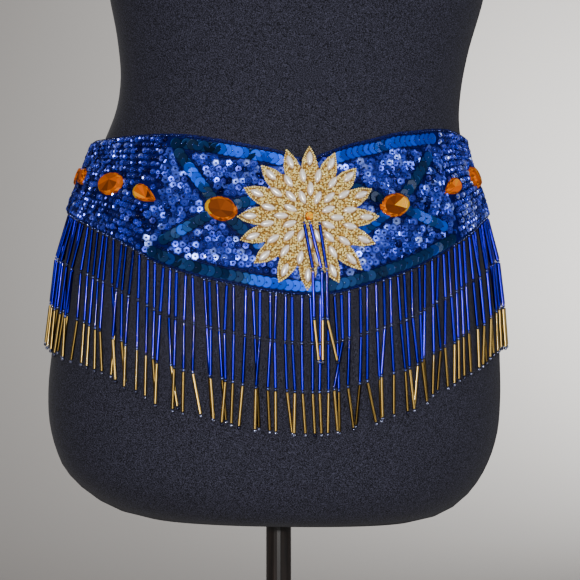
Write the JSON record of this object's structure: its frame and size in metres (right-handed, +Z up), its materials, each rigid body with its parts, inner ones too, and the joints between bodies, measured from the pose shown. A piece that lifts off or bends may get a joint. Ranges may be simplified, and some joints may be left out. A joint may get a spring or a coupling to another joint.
{
  "type": "belly dance hip belt on a dress form",
  "caption": "Beaded belly dance hip belt with a medallion, stones and long bead fringe, worn by a limbless dress form on a pole and round foot",
  "frame": {"origin": "middle of the foot's underside, on the floor", "axes": "+Z up the pole; the belt's front faces -Y; +X is the right side as seen from the front"},
  "size_m": [0.4, 0.4, 1.5461],
  "materials": {
    "form_cloth": "matt charcoal cloth",
    "dark_wood": "dark lacquered wood",
    "foot_paint": "satin black paint",
    "belt_cloth": "royal blue cloth covered in beads",
    "navy_binding": "navy bias binding",
    "blue_sequin": "glossy azure sequins",
    "amber_stone": "polished faceted amber acrylic",
    "gold_work": "gold bullion embroidery with cream pearls",
    "blue_bead": "royal blue and antique gold glass bugle beads",
    "hook_steel": "plain steel"
  },
  "bodies": {
    "root": {"belt_front": "belt_cloth", "belt_wing_left": "belt_cloth", "belt_wing_right": "belt_cloth", "binding_top": "navy_binding", "closure_hook_1": "hook_steel", "closure_hook_2": "hook_steel", "closure_hook_3": "hook_steel", "form_torso": "form_cloth", "fringe_front": "blue_bead", "fringe_left": "blue_bead", "fringe_right": "blue_bead", "medallion": "gold_work", "sequin_arm_left_1": "blue_sequin", "sequin_arm_left_2": "blue_sequin", "sequin_arm_left_3": "blue_sequin", "sequin_arm_left_4": "blue_sequin", "sequin_arm_right_1": "blue_sequin", "sequin_arm_right_2": "blue_sequin", "sequin_arm_right_3": "blue_sequin", "sequin_arm_right_4": "blue_sequin", "sequin_band_bottom": "blue_sequin", "sequin_band_top_left": "blue_sequin", "sequin_band_top_right": "blue_sequin", "stand_foot": "foot_paint", "stand_pole": "dark_wood", "stone_centre": "amber_stone", "stone_front_left": "amber_stone", "stone_front_right": "amber_stone", "stone_left_1": "amber_stone", "stone_left_2": "amber_stone", "stone_left_3": "amber_stone", "stone_left_4": "amber_stone", "stone_left_5": "amber_stone", "stone_left_6": "amber_stone", "stone_left_7": "amber_stone", "stone_left_8": "amber_stone", "stone_left_9": "amber_stone", "stone_right_1": "amber_stone", "stone_right_2": "amber_stone", "stone_right_3": "amber_stone", "stone_right_4": "amber_stone", "stone_right_5": "amber_stone", "stone_right_6": "amber_stone", "stone_right_7": "amber_stone", "stone_right_8": "amber_stone", "stone_right_9": "amber_stone", "tassel_centre": "blue_bead"}
  },
  "joints": []
}
